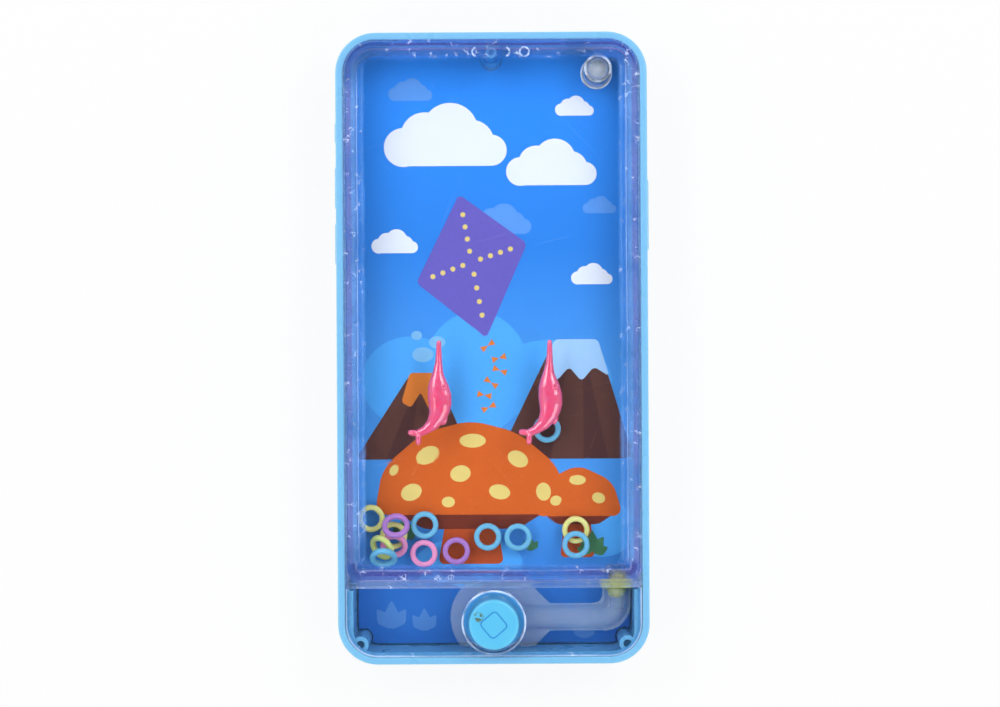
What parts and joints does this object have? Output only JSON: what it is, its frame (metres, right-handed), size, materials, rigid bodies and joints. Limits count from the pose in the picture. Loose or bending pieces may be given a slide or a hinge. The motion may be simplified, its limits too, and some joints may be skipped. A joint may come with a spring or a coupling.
{
  "type": "handheld water game",
  "caption": "Phone-shaped handheld water game with a clear tank, loose rings, catching pegs and a pump button.",
  "frame": {"origin": "middle of the flat back, on which the game lies", "axes": "+X to the game's right, +Y to its top, +Z out of its front"},
  "size_m": [0.0752, 0.15, 0.0206],
  "materials": {
    "shell_blue": "semi-gloss moulded",
    "clear_plastic": "clear polished",
    "printed_card": "gloss-laminated print",
    "milky_plastic": "milky, blow-moulded",
    "seal_rubber": "soft matt",
    "button_blue": "semi-gloss moulded",
    "plug_white": "soft translucent",
    "pearl_pink": "pearly",
    "ring_yellow": "matt",
    "ring_lime": "matt",
    "ring_purple": "matt",
    "ring_blue": "matt",
    "ring_pink": "matt"
  },
  "bodies": {
    "game": {"rear_shell": "shell_blue", "front_cover": "clear_plastic", "tank_back_plate": "clear_plastic", "backing_card": "printed_card", "pump_bladder": "milky_plastic", "inlet_seal": "seal_rubber", "inlet_nozzle": "clear_plastic", "left_peg": "pearl_pink", "right_peg": "pearl_pink"},
    "button": {"pump_button": "button_blue"},
    "plug": {"fill_plug": "plug_white"},
    "ring_01": {"ring_01": "ring_yellow"},
    "ring_02": {"ring_02": "ring_purple"},
    "ring_03": {"ring_03": "ring_yellow"},
    "ring_04": {"ring_04": "ring_pink"},
    "ring_05": {"ring_05": "ring_lime"},
    "ring_06": {"ring_06": "ring_blue"},
    "ring_07": {"ring_07": "ring_blue"},
    "ring_08": {"ring_08": "ring_pink"},
    "ring_09": {"ring_09": "ring_purple"},
    "ring_10": {"ring_10": "ring_blue"},
    "ring_11": {"ring_11": "ring_blue"},
    "ring_12": {"ring_12": "ring_yellow"},
    "ring_13": {"ring_13": "ring_blue"},
    "ring_14": {"ring_14": "ring_blue"}
  },
  "joints": [
    {"name": "button_press", "type": "slide", "parent": "game", "child": "button", "axis": [0, 0, -1], "range_m": [0, 0.004], "stiffness_N_per_m": 250, "deforming": ["pump_bladder"]},
    {"name": "plug_pull", "type": "slide", "parent": "game", "child": "plug", "axis": [0, 0, -1], "range_m": [0, 0.012]},
    {"name": "ring_01_drift", "type": "slide", "parent": "game", "child": "ring_01", "axis": [0, 1, 0], "range_m": [0, 0.105]},
    {"name": "ring_02_drift", "type": "slide", "parent": "game", "child": "ring_02", "axis": [-0.03, 0.9996, 0], "range_m": [0, 0.105]},
    {"name": "ring_03_spin", "type": "hinge", "parent": "game", "child": "ring_03", "pos_m": [-0.02426, -0.04529, 0.00501], "axis": [0, 0, 1], "continuous": true},
    {"name": "ring_04_spin", "type": "hinge", "parent": "game", "child": "ring_04", "pos_m": [-0.0241, -0.0476, 0.00639], "axis": [0, -0.4384, 0.8988], "continuous": true},
    {"name": "ring_05_spin", "type": "hinge", "parent": "game", "child": "ring_05", "pos_m": [-0.02684, -0.04785, 0.00829], "axis": [-0.5447, -0.4411, 0.7133], "continuous": true},
    {"name": "ring_06_drift", "type": "slide", "parent": "game", "child": "ring_06", "axis": [0, 0, 1], "range_m": [0, 0.001]},
    {"name": "ring_07_drift", "type": "slide", "parent": "game", "child": "ring_07", "axis": [0, 1, 0], "range_m": [0, 0.02]},
    {"name": "ring_08_drift", "type": "slide", "parent": "game", "child": "ring_08", "axis": [0, 0, 1], "range_m": [0, 0.007]},
    {"name": "ring_09_drift", "type": "slide", "parent": "game", "child": "ring_09", "axis": [0, 1, 0], "range_m": [0, 0.105]},
    {"name": "ring_10_drift", "type": "slide", "parent": "game", "child": "ring_10", "axis": [0, 1, 0], "range_m": [0, 0.105]},
    {"name": "ring_11_drift", "type": "slide", "parent": "game", "child": "ring_11", "axis": [0, 1, 0], "range_m": [0, 0.105]},
    {"name": "ring_12_drift", "type": "slide", "parent": "game", "child": "ring_12", "axis": [0, 1, 0], "range_m": [0, 0.105]},
    {"name": "ring_13_drift", "type": "slide", "parent": "game", "child": "ring_13", "axis": [0, 1, 0], "range_m": [0, 0.105]},
    {"name": "ring_14_drift", "type": "slide", "parent": "game", "child": "ring_14", "axis": [0, -1, 0], "range_m": [0, 0.02]}
  ]
}
